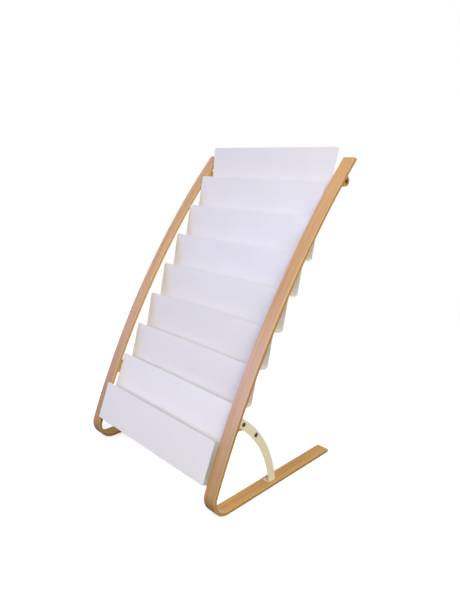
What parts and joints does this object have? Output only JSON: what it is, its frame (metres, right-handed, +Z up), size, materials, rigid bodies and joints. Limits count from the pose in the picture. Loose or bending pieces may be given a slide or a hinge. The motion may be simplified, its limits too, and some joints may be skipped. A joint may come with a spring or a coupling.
{
  "type": "brochure rack",
  "caption": "Free-standing tiered brochure rack: folded white sheet pockets leaning between two bent laminated beech side frames, with steel arc braces to the feet.",
  "frame": {"origin": "on the floor, under the middle of the rack's box", "axes": "+X to the right seen from the front, +Y to the back along the feet, +Z up; the pockets face -Y"},
  "size_m": [0.83, 0.756, 1.2875],
  "materials": {
    "bent_beech": "satin lacquered laminated beech, ply lines on the edges",
    "solid_beech": "satin lacquered solid beech",
    "white_powder_coat": "smooth satin white powder coat on folded sheet steel",
    "ivory_powder_coat": "satin ivory powder coat on flat steel plate",
    "dark_steel": "dark bronzed steel bolts",
    "zinc_steel": "bright zinc-plated steel"
  },
  "bodies": {
    "root": {"arc_brace_left": "ivory_powder_coat", "arc_brace_right": "ivory_powder_coat", "block_dowels": "solid_beech", "brace_tab_screws": "zinc_steel", "lower_block_bolts": "dark_steel", "lower_block_left": "solid_beech", "lower_block_right": "solid_beech", "lower_tray": "white_powder_coat", "rail_inserts": "zinc_steel", "rear_tie_bar": "zinc_steel", "shelf_1": "white_powder_coat", "shelf_2": "white_powder_coat", "shelf_3": "white_powder_coat", "shelf_4": "white_powder_coat", "shelf_5": "white_powder_coat", "shelf_6": "white_powder_coat", "shelf_7": "white_powder_coat", "shelf_rivets": "zinc_steel", "side_frame_left": "bent_beech", "side_frame_right": "bent_beech", "tie_bar_bolts": "dark_steel", "top_cross_rail": "solid_beech", "top_shelf_nuts": "zinc_steel", "top_shelf_studs": "white_powder_coat", "tray_back_panel": "white_powder_coat", "tray_lug_left": "white_powder_coat", "tray_lug_nuts": "zinc_steel", "tray_lug_right": "white_powder_coat", "upper_block_left": "solid_beech", "upper_block_right": "solid_beech", "upper_rail_bolts": "dark_steel"}
  },
  "joints": []
}
